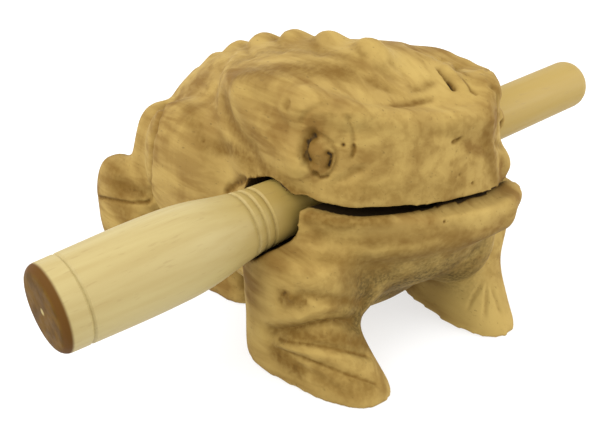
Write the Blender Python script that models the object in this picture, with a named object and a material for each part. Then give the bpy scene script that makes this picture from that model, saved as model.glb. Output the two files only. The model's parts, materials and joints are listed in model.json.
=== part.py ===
"""A carved wooden frog rasp, with its turned striker stick kept in the bore behind the mouth.

The frog stands on the plane z = 0 and looks towards -Y. The bore and the stick run along X,
and the stick's handle is on the -X side. Sizes are in metres, and places are measured from
the point on the floor under the middle of the bore until the last step centres the object.
"""

import math

import bmesh
import bpy
from mathutils import Matrix, Vector

# Trunk: an egg-shaped block whose upper outline is the arched back
TRUNK_REACH_BACK = 0.0920
TRUNK_REACH_FRONT = 0.0112
TRUNK_HALF_WIDTH = 0.0275
TRUNK_CORE_HEIGHT = 0.0190
TRUNK_CORE_FORWARD = 0.0050
BACK_HEIGHT = 0.0702
BELLY_HEIGHT = 0.0070

# How square the plans of the forms are at their fronts and backs (2 is round)
FACE_POWER = 2.6
FOOT_POWER = 2.6
BACK_POWER = 2.2

# Row of scallops along the back
SCALLOPS = 8
SCALLOP_HALF_WIDTH = 0.0050
SCALLOP_RISE = 0.0028
SCALLOP_FADE = 0.7
SCALLOP_ROUNDNESS = 1.15
SCALLOP_MEET = 1.06
SCALLOPS_START = math.radians(91.0)
SCALLOPS_END = math.radians(151.0)

# Head
HEAD_TURN = math.radians(9.0)
HEAD_SHIFT = 0.0015
HEAD_ROLL = math.radians(0.3)
LIP_TURN = math.radians(12.0)
LIP_SHIFT = 0.0032
HEAD_HALF_WIDTH = 0.0265
HEAD_TAPER = 0.035
HEAD_FRONT = 0.0280
HEAD_BACK = 0.0390
CROWN_HEIGHT = 0.0700
SNOUT_TOP_HEIGHT = 0.0590
TOP_RINGS = 6
TOP_RING_SMALLEST = 0.02
BROW_HEIGHT = 0.0655
BROW_RADIUS = 0.0036
BROW_INSET = 0.0058
BROW_FRONT_RADIUS = 0.0027
BROW_FRONT_INSET = 0.0088
BROW_REACH = 0.0197
NAPE_SIDE_HEIGHT = 0.0520
NAPE_UNDERCUT = 0.0090
NAPE_UNDERCUT_LENGTH = 0.0260
NAPE_SINK = 0.0005
EYE_HEIGHT = 0.0520
EYE_FORWARD = 0.0130
EYE_INSET = 0.0026
EYE_BULGE = 0.0032
EYE_WIDTH = 0.0090
EYE_TALL = 0.0104
LIP_REACH = 0.0036
LIP_BACK = 0.0160
LIP_DEPTH = 0.0095
LIP_SECTION = ((0.0, 1.0), (0.35, 0.995), (0.75, 0.98), (1.0, 0.94))
THROAT_HEIGHT = 0.0115
THROAT_POWER = 2.3
BREAST_SPREAD = 0.0150
BREAST_FORWARD = 0.0105
BREAST_HEIGHT = 0.0235
BREAST_RADII = (0.0100, 0.0132, 0.0130)
CHEEK_REACH = 0.0034
CHEEK_LENGTH = 0.0150
CHEEK_TALL = 0.0110
CHEEK_FORWARD = 0.0180
CHEEK_INSET = 0.0074
CHEEK_HEIGHT = 0.0440
LEFT_CHEEK_OUT = 0.0012

# Bore and mouth slit
BORE_DIAMETER = 0.0184
BORE_HEIGHT = 0.0380
BORE_TILT = math.radians(2.8)
BORE_RIM_RIGHT = 0.0330
BORE_RIM_LEFT = 0.0286
MOUTH_GAP = 0.0026
MOUTH_RISE = 0.0020
MOUTH_TILT = math.radians(2.5)

# Legs
RIGHT_TOE_IN = math.radians(7.0)
LEFT_TOE_IN = math.radians(10.0)
FRONT_FOOT_REACH = 0.0270
FRONT_FOOT_WIDTH = 0.0198
FRONT_FOOT_SPREAD = 0.0238
FRONT_FOOT_FORWARD = 0.0060
RIGHT_FOOT_AHEAD = 0.0010
FOOT_SLOPE_HEIGHT = 0.0160
FOOT_SLOPE_POWER = 0.75
LEG_RINGS = 9
FRONT_LEG_REACH = 0.0150
FRONT_LEG_BACK = 0.0142
FRONT_LEG_WIDTH = 0.0186
FRONT_LEG_TOP = 0.0310
RIGHT_LEG_LEAN_OUT = 0.0014
LEFT_LEG_LEAN_OUT = 0.0050
LEFT_FOOT_OUT = 0.0018
LEFT_FOOT_NARROWER = 0.0012
HAUNCH_LENGTH = 0.0500
HAUNCH_HEIGHT = 0.0400
HAUNCH_WIDTH = 0.0180
HAUNCH_BACKWARD = 0.0380
HAUNCH_CENTRE_HEIGHT = 0.0310
HAUNCH_SPREAD = 0.0192
HAUNCH_POWER = 2.2
HIP_SPREAD = 0.0143
HIP_HEIGHT = 0.0368
ANKLE_SPREAD = 0.0220
ANKLE_HEIGHT = 0.0109
SHANK_BACKWARD = 0.0650
ANKLE_BACKWARD = 0.0664
SHANK_RADIUS = 0.0075
HEEL_LENGTH = 0.0200
HEEL_WIDTH = 0.0130
HEEL_HEIGHT = 0.0272
HEEL_BACKWARD = 0.0751
HEEL_SPREAD = 0.0236
HEEL_POWER = 2.8
HIND_FOOT_LENGTH = 0.0550
HIND_FOOT_WIDTH = 0.0110
HIND_FOOT_HEIGHT = 0.0110
HIND_FOOT_SPREAD = 0.0160
HIND_FOOT_TOE_OUT = math.radians(3.0)

# Striker stick
STICK_LENGTH = 0.1626
HANDLE_OUT = 0.0470
HANDLE_DIAMETER = 0.0203
HANDLE_END_DIAMETER = 0.0190
HANDLE_WAIST_DIAMETER = 0.0199
HANDLE_THICKEST = 0.0207
HANDLE_LENGTH = 0.0345
SHOULDER_LENGTH = 0.0114
SHOULDER_STEPS = 5
NECK_DIAMETER = 0.0150
NECK_LENGTH = 0.0076
ENTRY_DIAMETER = 0.0142
TAPER_LENGTH = 0.0140
ROD_DIAMETER = 0.0133
END_ROUNDING = 0.0020
TIP_ROUNDING = 0.0035
SCORE_WIDTH = 0.0010
SCORE_DEPTH = 0.0004
END_SCORE_PLACE = 0.0062
NECK_SCORES = 3
NECK_SCORE_PITCH = 0.0024
FIRST_NECK_SCORE = 0.0007
RUNNING_GAP = 0.0003
MERGE_DISTANCE = 0.00001

# Colours of the carved and the turned wood
CARVED_COLOUR = (0.42, 0.27, 0.09)
TURNED_COLOUR = (0.62, 0.47, 0.22)

# Fineness of the carved surface
SURFACE_GRAIN = 0.0015
SURFACE_SMOOTHING = 6
SURFACE_DETAIL = 0.25
SHARP_ANGLE = math.radians(40)
FORM_SIDES = 40
STICK_SIDES = 40
FLOOR_SINK = 0.0030


def superellipse(angle, power):
    """A point on a unit ring that runs from a circle (power 2) towards a square."""
    across = math.copysign(abs(math.cos(angle)) ** (2 / power), math.cos(angle))
    along = math.copysign(abs(math.sin(angle)) ** (2 / power), math.sin(angle))
    return across, along


def egg(bm, centre, radii, drop=None, front=None, power=2.0, turn=None):
    """An egg-shaped form, whose lower half and front half can have reaches of their own."""
    made = bmesh.ops.create_uvsphere(bm, u_segments=FORM_SIDES, v_segments=FORM_SIDES // 2, radius=1.0)
    for vert in made["verts"]:
        blunt = [math.copysign(abs(part) ** (2 / power), part) for part in vert.co]
        reach = front if front is not None and blunt[1] < 0 else radii[1]
        height = drop if drop is not None and blunt[2] < 0 else radii[2]
        vert.co = Vector((blunt[0] * radii[0], blunt[1] * reach, blunt[2] * height))
    if turn is not None:
        bmesh.ops.rotate(bm, verts=made["verts"], cent=Vector(), matrix=turn)
    bmesh.ops.translate(bm, verts=made["verts"], vec=Vector(centre))
    return made["verts"]


def plan_ring(bm, height, half_width, front, back, power=2.0, size=1.0):
    """One ring of a form seen from above, blunt at its front (-Y) and round at its back."""
    made = bmesh.ops.create_circle(bm, segments=FORM_SIDES, radius=1.0)["verts"]
    for index, vert in enumerate(made):
        angle = math.tau * index / FORM_SIDES
        across, along = superellipse(angle, power if math.sin(angle) < 0 else BACK_POWER)
        x = half_width * across * size
        y = (front if along < 0 else back) * along * size
        vert.co = Vector((x, y, height(x, y) if callable(height) else height))
    return made


def stack(bm, rings):
    """Joins rings, one above the other, into one closed form."""
    for lower, upper in zip(rings, rings[1:]):
        for index in range(FORM_SIDES):
            beside = (index + 1) % FORM_SIDES
            bm.faces.new((lower[index], lower[beside], upper[beside], upper[index]))
    bm.faces.new(list(reversed(rings[0])))
    bm.faces.new(rings[-1])
    return [vert for ring in rings for vert in ring]


def bar(bm, start, end, start_radius, end_radius):
    """A tapered bar with round ends."""
    for point, radius in ((start, start_radius), (end, end_radius)):
        egg(bm, point, (radius, radius, radius))
    run = Vector(end) - Vector(start)
    made = bmesh.ops.create_cone(
        bm,
        cap_ends=True,
        segments=FORM_SIDES,
        radius1=start_radius,
        radius2=end_radius,
        depth=run.length,
    )["verts"]
    turn = Vector((0, 0, 1)).rotation_difference(run).to_matrix()
    bmesh.ops.rotate(bm, verts=made, cent=Vector(), matrix=turn)
    bmesh.ops.translate(bm, verts=made, vec=(Vector(start) + Vector(end)) / 2)


def back_point(angle):
    """A point on the arched back, from the front of its oval (0) over the top to the rump (pi)."""
    rise = BACK_HEIGHT - TRUNK_CORE_HEIGHT
    y = -TRUNK_CORE_FORWARD - TRUNK_REACH_BACK * math.cos(angle)
    return Vector((0, y, TRUNK_CORE_HEIGHT + rise * math.sin(angle)))


def back_height(y):
    """The height of the smooth back at one place along the frog."""
    share = min(abs(y + TRUNK_CORE_FORWARD) / TRUNK_REACH_BACK, 1.0)
    return TRUNK_CORE_HEIGHT + (BACK_HEIGHT - TRUNK_CORE_HEIGHT) * math.sqrt(1 - share * share)


def add_trunk(bm):
    """The body of the frog."""
    egg(
        bm,
        (0, -TRUNK_CORE_FORWARD, TRUNK_CORE_HEIGHT),
        (TRUNK_HALF_WIDTH, TRUNK_REACH_BACK, BACK_HEIGHT - TRUNK_CORE_HEIGHT),
        drop=TRUNK_CORE_HEIGHT - BELLY_HEIGHT,
        front=TRUNK_REACH_FRONT,
    )


def add_scallops(bm):
    """The row of rounded notched teeth that the stick is drawn over."""
    step = (SCALLOPS_END - SCALLOPS_START) / (SCALLOPS - 1)
    for index in range(SCALLOPS):
        angle = SCALLOPS_START + step * index
        place = back_point(angle)
        half_pitch = (back_point(angle + step / 2) - back_point(angle - step / 2)).length / 2
        depth = half_pitch * SCALLOP_ROUNDNESS
        lean = back_point(angle + step / 2) - back_point(angle - step / 2)
        slant = Matrix.Rotation(math.atan2(lean.z, lean.y), 3, "X")
        rise = SCALLOP_RISE * (1 - SCALLOP_FADE * (index / (SCALLOPS - 1)) ** 2)
        sink = Vector((0, 0, rise - depth))
        sink.rotate(slant)
        egg(bm, place + sink, (SCALLOP_HALF_WIDTH, half_pitch * SCALLOP_MEET, depth), turn=slant)


def ease(share):
    """A smooth step from 0 to 1."""
    share = min(max(share, 0.0), 1.0)
    return (1 - math.cos(math.pi * share)) / 2


def skull_height(x, y):
    """The top of the head: it falls to the snout along the middle and stays up at the sides."""
    rise = ease((y + HEAD_FRONT) / HEAD_FRONT)
    crown = min(CROWN_HEIGHT, back_height(y) - NAPE_SINK)
    middle = SNOUT_TOP_HEIGHT + (crown - SNOUT_TOP_HEIGHT) * rise
    edge = BROW_HEIGHT - (BROW_HEIGHT - NAPE_SIDE_HEIGHT) * ease(y / HEAD_BACK)
    if y > 0:
        edge = min(edge, middle)
    outward = min(abs(x) / HEAD_HALF_WIDTH, 1.0)
    return middle + (edge - middle) * outward**2


def skull_floor(x, y):
    """The underside of the skull: the line of the mouth, rising behind the bore."""
    return BORE_HEIGHT + MOUTH_RISE + NAPE_UNDERCUT * ease(y / NAPE_UNDERCUT_LENGTH)


def add_skull(bm):
    """The skull and upper jaw, with a flat top that is widest above the mouth."""
    plan = (HEAD_HALF_WIDTH, HEAD_FRONT, HEAD_BACK, FACE_POWER)
    rings = [plan_ring(bm, skull_floor, *plan, 1.0 + HEAD_TAPER)]
    for step in range(TOP_RINGS):
        inward = step / (TOP_RINGS - 1)
        size = (1.0 - HEAD_TAPER) * (1 - inward) + TOP_RING_SMALLEST * inward
        rings.append(plan_ring(bm, skull_height, *plan, size))
    made = stack(bm, rings)
    for side in (-1, 1):
        made += add_brow(bm, side)
        made += add_cheek(bm, side)
    swing(made, HEAD_TURN, HEAD_SHIFT)


def add_lower_jaw(bm):
    """The broad lower jaw with its rounded lip, the throat below it and the breast beside that."""
    plan = (HEAD_HALF_WIDTH + LIP_REACH, HEAD_FRONT + LIP_REACH, LIP_BACK, FACE_POWER)
    lip_top = BORE_HEIGHT + MOUTH_RISE - MOUTH_GAP / 2
    rings = []
    for drop, size in LIP_SECTION:
        rings.append(plan_ring(bm, lip_top - LIP_DEPTH * drop, *plan, size))
    swing(stack(bm, rings), LIP_TURN, LIP_SHIFT)
    throat_top = lip_top - LIP_DEPTH / 2
    throat = egg(
        bm,
        (0, 0, throat_top),
        (HEAD_HALF_WIDTH, HEAD_FRONT, LIP_DEPTH / 4),
        drop=throat_top - THROAT_HEIGHT,
        power=THROAT_POWER,
    )
    swing(throat, HEAD_TURN, LIP_SHIFT)
    for side in (-1, 1):
        breast = egg(bm, (side * BREAST_SPREAD, -BREAST_FORWARD, BREAST_HEIGHT), BREAST_RADII)
        swing(breast, HEAD_TURN, LIP_SHIFT)


def swing(verts, turn, shift):
    """Draws the left side of a form of the head forward and up, and moves the form sideways."""
    for vert in verts:
        vert.co.y -= vert.co.x * math.tan(turn)
        vert.co.z += vert.co.x * math.tan(HEAD_ROLL)
        vert.co.x += shift


def add_brow(bm, side):
    """The ridge over one eye, which runs forward to the corner of the snout, and its eyeball."""
    before = set(bm.verts)
    height = BROW_HEIGHT - BROW_RADIUS
    rear = (side * (HEAD_HALF_WIDTH - BROW_INSET), 0, height)
    front = (side * (HEAD_HALF_WIDTH - BROW_FRONT_INSET), -BROW_REACH, height)
    bar(bm, rear, front, BROW_RADIUS, BROW_FRONT_RADIUS)
    eye = (side * (HEAD_HALF_WIDTH - EYE_INSET), -EYE_FORWARD, EYE_HEIGHT)
    egg(bm, eye, (EYE_BULGE, EYE_WIDTH / 2, EYE_TALL / 2))
    return list(set(bm.verts) - before)


def add_cheek(bm, side):
    """The fullness at one front corner of the upper jaw, just above the mouth."""
    out = LEFT_CHEEK_OUT if side > 0 else 0.0
    place = (side * (HEAD_HALF_WIDTH - CHEEK_INSET + out), -CHEEK_FORWARD, CHEEK_HEIGHT)
    return list(egg(bm, place, (CHEEK_REACH, CHEEK_LENGTH / 2, CHEEK_TALL / 2)))


def add_front_leg(bm, side):
    """A broad front leg that opens forward and outward into a fan-shaped foot."""
    lean_out = LEFT_LEG_LEAN_OUT if side > 0 else RIGHT_LEG_LEAN_OUT
    foot_width = FRONT_FOOT_WIDTH - (LEFT_FOOT_NARROWER if side > 0 else 0.0)
    rings = []
    for step in range(LEG_RINGS):
        share = step / (LEG_RINGS - 1)
        height = (FRONT_LEG_TOP + FLOOR_SINK) * share - FLOOR_SINK
        slope = ease((max(height, 0.0) / FOOT_SLOPE_HEIGHT) ** FOOT_SLOPE_POWER)
        half_width = (foot_width + (FRONT_LEG_WIDTH - foot_width) * slope) / 2
        front = FRONT_FOOT_REACH + (FRONT_LEG_REACH - FRONT_FOOT_REACH) * slope
        ring = plan_ring(bm, height, half_width, front, FRONT_LEG_BACK, FOOT_POWER)
        for vert in ring:
            vert.co.x += side * lean_out * share
        rings.append(ring)
    made = stack(bm, rings)
    toe_in = LEFT_TOE_IN if side > 0 else RIGHT_TOE_IN
    turn = Matrix.Rotation(-side * toe_in, 3, "Z")
    forward = FRONT_FOOT_FORWARD - side * RIGHT_FOOT_AHEAD
    spread = FRONT_FOOT_SPREAD + (LEFT_FOOT_OUT if side > 0 else 0.0)
    place = Vector((side * spread + HEAD_SHIFT, -forward, 0))
    bmesh.ops.transform(bm, verts=made, matrix=Matrix.Translation(place) @ turn.to_4x4())


def add_hind_leg(bm, side):
    """A folded hind leg: the round haunch, the shank behind it, the heel and the long foot."""
    egg(
        bm,
        (side * HAUNCH_SPREAD, HAUNCH_BACKWARD, HAUNCH_CENTRE_HEIGHT),
        (HAUNCH_WIDTH / 2, HAUNCH_LENGTH / 2, HAUNCH_HEIGHT / 2),
        power=HAUNCH_POWER,
    )
    hip = (side * HIP_SPREAD, SHANK_BACKWARD, HIP_HEIGHT)
    ankle = (side * ANKLE_SPREAD, ANKLE_BACKWARD, ANKLE_HEIGHT)
    bar(bm, hip, ankle, SHANK_RADIUS, SHANK_RADIUS)
    heel_centre = (HEEL_HEIGHT - FLOOR_SINK) / 2
    egg(
        bm,
        (side * HEEL_SPREAD, HEEL_BACKWARD, heel_centre),
        (HEEL_WIDTH / 2, HEEL_LENGTH / 2, HEEL_HEIGHT - heel_centre),
        power=HEEL_POWER,
    )
    foot = egg(
        bm,
        (0, 0, 0),
        (HIND_FOOT_WIDTH / 2, HIND_FOOT_LENGTH / 2, HIND_FOOT_HEIGHT),
        drop=FLOOR_SINK,
        power=FOOT_POWER,
    )
    turn = Matrix.Rotation(side * HIND_FOOT_TOE_OUT, 3, "Z")
    place = Vector((side * HIND_FOOT_SPREAD, HEEL_BACKWARD - HIND_FOOT_LENGTH / 2, 0))
    bmesh.ops.transform(bm, verts=foot, matrix=Matrix.Translation(place) @ turn.to_4x4())


def new_object(name, bm, colour=None, roughness=0.7):
    """Makes an object of a bmesh, with a material of its own where a colour is given."""
    mesh = bpy.data.meshes.new(name)
    bmesh.ops.recalc_face_normals(bm, faces=bm.faces)
    bm.to_mesh(mesh)
    bm.free()
    made = bpy.data.objects.new(name, mesh)
    bpy.context.scene.collection.objects.link(made)
    if colour is not None:
        material = bpy.data.materials.new(name + "_wood")
        material.use_nodes = True
        shader = material.node_tree.nodes["Principled BSDF"]
        shader.inputs["Base Color"].default_value = (*colour, 1.0)
        shader.inputs["Roughness"].default_value = roughness
        shader.inputs["Metallic"].default_value = 0.0
        mesh.materials.append(material)
    return made


def cutter(name, bm):
    """A guide shape that is cut out of another and not kept."""
    made = new_object(name, bm)
    made.hide_render = True
    made.display_type = "WIRE"
    return made


def cut(target, tool, operation="DIFFERENCE"):
    """Cuts one shape out of another."""
    modifier = target.modifiers.new(tool.name, "BOOLEAN")
    modifier.operation = operation
    modifier.object = tool
    modifier.solver = "EXACT"


def bore_cutter():
    """The bore through the frog from side to side."""
    bm = bmesh.new()
    made = bmesh.ops.create_cone(
        bm,
        cap_ends=True,
        segments=FORM_SIDES,
        radius1=BORE_DIAMETER / 2,
        radius2=BORE_DIAMETER / 2,
        depth=TRUNK_HALF_WIDTH * 4,
    )["verts"]
    along_x = Matrix.Rotation(math.pi / 2 - BORE_TILT, 3, "Y")
    bmesh.ops.rotate(bm, verts=made, cent=Vector(), matrix=along_x)
    bmesh.ops.translate(bm, verts=made, vec=Vector((0, 0, BORE_HEIGHT)))
    return cutter("bore_guide", bm)


def mouth_cutter():
    """The thin slit from the front of the jaws back into the bore."""
    bm = bmesh.new()
    reach = HEAD_FRONT * 2
    size = Vector((TRUNK_HALF_WIDTH * 4, reach, MOUTH_GAP))
    made = bmesh.ops.create_cube(bm, size=1.0, matrix=Matrix.Diagonal(size).to_4x4())["verts"]
    bmesh.ops.rotate(bm, verts=made, cent=Vector(), matrix=Matrix.Rotation(MOUTH_TILT, 3, "Y"))
    bmesh.ops.translate(bm, verts=made, vec=Vector((0, -reach / 2, BORE_HEIGHT + MOUTH_RISE)))
    return cutter("mouth_guide", bm)


def floor_cutter():
    """What lies under the floor plane, cut away so that the feet have flat soles."""
    bm = bmesh.new()
    span = TRUNK_REACH_BACK * 4
    size = Vector((span, span, FLOOR_SINK * 4))
    made = bmesh.ops.create_cube(bm, size=1.0, matrix=Matrix.Diagonal(size).to_4x4())["verts"]
    bmesh.ops.translate(bm, verts=made, vec=Vector((0, 0, -FLOOR_SINK * 2)))
    return cutter("floor_guide", bm)


def carve_frog():
    """The frog, carved from one block."""
    bm = bmesh.new()
    add_trunk(bm)
    add_scallops(bm)
    add_skull(bm)
    add_lower_jaw(bm)
    for side in (-1, 1):
        add_front_leg(bm, side)
        add_hind_leg(bm, side)
    frog = new_object("frog_body", bm, CARVED_COLOUR)
    shape = frog.modifiers.new("one_block", "REMESH")
    shape.mode = "VOXEL"
    shape.voxel_size = SURFACE_GRAIN
    worn = frog.modifiers.new("worn_edges", "SMOOTH")
    worn.iterations = SURFACE_SMOOTHING
    facets = frog.modifiers.new("knife_facets", "DECIMATE")
    facets.ratio = SURFACE_DETAIL
    for tool in (floor_cutter(), mouth_cutter(), bore_cutter()):
        cut(frog, tool)
    return frog


def score_points(place, radius):
    """The three points of one V-shaped scored ring."""
    half = SCORE_WIDTH / 2
    return [(place - half, radius), (place, radius - SCORE_DEPTH), (place + half, radius)]


def rounded_corner(place, radius, rounding, inward, steps):
    """The points of a rounded end of the stick, from its face to its side."""
    points = []
    for step in range(steps + 1):
        angle = math.pi / 2 * step / steps
        along = place + inward * rounding * (1 - math.cos(angle))
        points.append((along, radius - rounding * (1 - math.sin(angle))))
    return points


def stick_profile():
    """The turned outline of the stick as (distance from the handle's end, radius)."""
    end_radius = HANDLE_END_DIAMETER / 2
    handle_radius = HANDLE_DIAMETER / 2
    waist_radius = HANDLE_WAIST_DIAMETER / 2
    neck_radius = NECK_DIAMETER / 2
    entry_radius = ENTRY_DIAMETER / 2
    rod_radius = ROD_DIAMETER / 2
    outline = [(0.0, 0.0)]
    outline += rounded_corner(0.0, end_radius, END_ROUNDING, 1, 3)
    outline += score_points(END_SCORE_PLACE, (end_radius + handle_radius) / 2)
    outline += [(HANDLE_THICKEST, handle_radius), (HANDLE_LENGTH, waist_radius)]
    for step in range(1, SHOULDER_STEPS):
        share = step / SHOULDER_STEPS
        place = HANDLE_LENGTH + SHOULDER_LENGTH * share
        outline.append((place, waist_radius + (neck_radius - waist_radius) * ease(share)))
    neck_start = HANDLE_LENGTH + SHOULDER_LENGTH
    for index in range(NECK_SCORES):
        place = neck_start + FIRST_NECK_SCORE + NECK_SCORE_PITCH * index
        share = (place - neck_start) / NECK_LENGTH
        outline += score_points(place, neck_radius + (entry_radius - neck_radius) * share)
    taper_start = neck_start + NECK_LENGTH
    outline.append((taper_start, entry_radius))
    outline.append((taper_start + TAPER_LENGTH / 2, (entry_radius + rod_radius) / 2))
    outline.append((taper_start + TAPER_LENGTH, rod_radius))
    outline += reversed(rounded_corner(STICK_LENGTH, rod_radius, TIP_ROUNDING, -1, 4))
    outline.append((STICK_LENGTH, 0.0))
    return outline


def turn_stick():
    """The stick, turned on a lathe and laid in the bore, where it leans from rim to rim."""
    bm = bmesh.new()
    previous = None
    edges = []
    for place, radius in stick_profile():
        vert = bm.verts.new((place, radius, 0.0))
        if previous is not None:
            edges.append(bm.edges.new((previous, vert)))
        previous = vert
    bmesh.ops.spin(
        bm,
        geom=list(bm.verts) + edges,
        cent=Vector(),
        axis=Vector((1, 0, 0)),
        angle=math.tau,
        steps=STICK_SIDES,
        use_merge=True,
    )
    bmesh.ops.remove_doubles(bm, verts=bm.verts, dist=MERGE_DISTANCE)
    stick = new_object("striker_stick", bm, TURNED_COLOUR)
    stick.data.shade_smooth()
    stick.data.set_sharp_from_angle(angle=SHARP_ANGLE)
    rim_share = (HANDLE_OUT - HANDLE_LENGTH - SHOULDER_LENGTH) / NECK_LENGTH
    rim_diameter = NECK_DIAMETER + (ENTRY_DIAMETER - NECK_DIAMETER) * rim_share
    near_drop = (BORE_DIAMETER - rim_diameter) / 2 - RUNNING_GAP
    far_rise = (BORE_DIAMETER - ROD_DIAMETER) / 2 - RUNNING_GAP
    lean = BORE_TILT + math.atan2(near_drop + far_rise, BORE_RIM_RIGHT + BORE_RIM_LEFT)
    stick.rotation_euler = (0, -lean, 0)
    rim_height = BORE_HEIGHT - BORE_RIM_RIGHT * math.tan(BORE_TILT)
    rim = Vector((-BORE_RIM_RIGHT, 0, rim_height - near_drop))
    stick.location = rim - Vector((math.cos(lean), 0, math.sin(lean))) * HANDLE_OUT
    return stick


def centre_over_origin(parts):
    """Moves everything so that the whole object stands centred over the origin."""
    bpy.context.view_layer.update()
    view = bpy.context.evaluated_depsgraph_get()
    corners = []
    for part in parts:
        seen = part.evaluated_get(view)
        corners += [seen.matrix_world @ vert.co for vert in seen.data.vertices]
    low = [min(corner[axis] for corner in corners) for axis in range(3)]
    high = [max(corner[axis] for corner in corners) for axis in range(3)]
    shift = Vector((-(low[0] + high[0]) / 2, -(low[1] + high[1]) / 2, -low[2]))
    for thing in bpy.data.objects:
        thing.location += shift


def main():
    """Builds the frog and its stick."""
    for old in list(bpy.data.objects):
        bpy.data.objects.remove(old)
    centre_over_origin([carve_frog(), turn_stick()])


main()
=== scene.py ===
"""The looks of a carved wooden frog rasp and of the turned striker stick kept in its bore.

The frog looks towards -Y and stands on z = 0, and the stick's handle is on the -X side. Sizes are
in metres. The marks of the knife are placed by the pixels of the photograph in which they are seen,
and each is laid on the surface of the carving where the photograph's camera sees it. The marks of
the eye are laid on the other side of the head too.
"""

import json
import logging
import math
from dataclasses import dataclass, field, replace
from enum import Enum

import bmesh
import bpy
import numpy as np
from mathutils import Matrix, Vector, noise
from mathutils.bvhtree import BVHTree


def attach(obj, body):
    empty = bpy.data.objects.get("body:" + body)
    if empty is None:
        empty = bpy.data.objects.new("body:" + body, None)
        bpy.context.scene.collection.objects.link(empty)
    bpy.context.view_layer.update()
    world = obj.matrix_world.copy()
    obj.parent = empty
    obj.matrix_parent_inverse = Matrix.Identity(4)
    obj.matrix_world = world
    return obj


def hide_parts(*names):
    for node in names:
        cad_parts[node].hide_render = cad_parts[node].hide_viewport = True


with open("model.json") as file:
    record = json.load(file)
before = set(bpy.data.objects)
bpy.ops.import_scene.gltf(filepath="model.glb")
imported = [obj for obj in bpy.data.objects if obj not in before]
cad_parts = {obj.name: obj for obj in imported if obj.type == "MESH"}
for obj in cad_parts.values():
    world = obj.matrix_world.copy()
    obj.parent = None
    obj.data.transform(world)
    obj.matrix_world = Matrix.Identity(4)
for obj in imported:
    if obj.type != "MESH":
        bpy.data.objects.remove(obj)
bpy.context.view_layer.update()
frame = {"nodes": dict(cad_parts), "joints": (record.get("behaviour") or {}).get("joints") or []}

logging.basicConfig(level=logging.INFO, format="%(levelname)s %(message)s")
log = logging.getLogger("frog_rasp")

MERGE_DISTANCE = 0.00001
WHITE = (1.0, 1.0, 1.0, 1.0)
QUAD_CORNERS = 4
Colour = tuple[float, float, float]
Pixel = tuple[float, float]
Pair = tuple[float, float]
Triple = tuple[float, float, float]
Socket = bpy.types.NodeSocket


class Section(Enum):
    """The cross-section of a carved mark."""

    ROUND = "round"
    SHARP = "sharp"


@dataclass(frozen=True)
class PhotoCamera:
    """The camera that took the photograph.

    Attributes:
        place: where the camera stands.
        heading: how far it is turned from +Y towards +X, in degrees.
        tilt: how far it looks down, in degrees.
        focal_pixels: its focal length in pixels of the photograph.
        width: the photograph's width in pixels.
        height: the photograph's height in pixels.
        sensor: the width of its sensor in millimetres.
        nearest: the nearest distance that it shows.
        farthest: the farthest distance that it shows.
    """

    place: Vector = field(default_factory=lambda: Vector((-0.13425, -0.17610, 0.1180)))
    heading: float = 38.0
    tilt: float = 24.0
    focal_pixels: float = 900.0
    width: int = 600
    height: int = 425
    sensor: float = 36.0
    nearest: float = 0.01
    farthest: float = 20.0

    def turn(self) -> Matrix:
        """Gives the camera's own axes as a rotation."""
        down = Matrix.Rotation(math.radians(90.0 - self.tilt), 3, "X")
        return Matrix.Rotation(-math.radians(self.heading), 3, "Z") @ down

    def ray(self, pixel: Pixel) -> Vector:
        """Finds the direction in which a pixel of the photograph is seen.

        Args:
            pixel: its place from the left and from the top.

        Returns:
            The unit direction from the camera.
        """
        across = pixel[0] - self.width / 2
        up = self.height / 2 - pixel[1]
        return (self.turn() @ Vector((across, up, -self.focal_pixels))).normalized()

    def add(self) -> None:
        """Puts the camera in the scene and makes it the one that is used."""
        lens = bpy.data.cameras.new("photo_camera")
        lens.sensor_width = self.sensor
        lens.lens = self.focal_pixels / self.width * self.sensor
        lens.clip_start = self.nearest
        lens.clip_end = self.farthest
        camera = bpy.data.objects.new("photo_camera", lens)
        bpy.context.scene.collection.objects.link(camera)
        camera.matrix_world = Matrix.Translation(self.place) @ self.turn().to_4x4()
        bpy.context.scene.camera = camera


@dataclass(frozen=True)
class Mark:
    """One mark of the knife, or one raised or stained place, or a place made darker as painted shade or paler
    as painted light.

    Attributes:
        name: what it is.
        pixels: the line of the mark as it is seen in the photograph; one pixel is a round spot.
        reach: how far it spreads to each side of its line.
        depth: how deep it goes; a negative depth raises the wood.
        stain_and_painted_light: how dark it is, up to 1, as real staining on some marks and painted shade on
            others; below 0 the wood is made paler as painted light.
        section: its cross-section.
        fade: whether it runs out at both ends.
        both_sides: whether the other side of the head has it too.
    """

    name: str
    pixels: tuple[Pixel, ...]
    reach: float
    depth: float = 0.0
    stain_and_painted_light: float = 0.0
    section: Section = Section.ROUND
    fade: bool = False
    both_sides: bool = False
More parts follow.
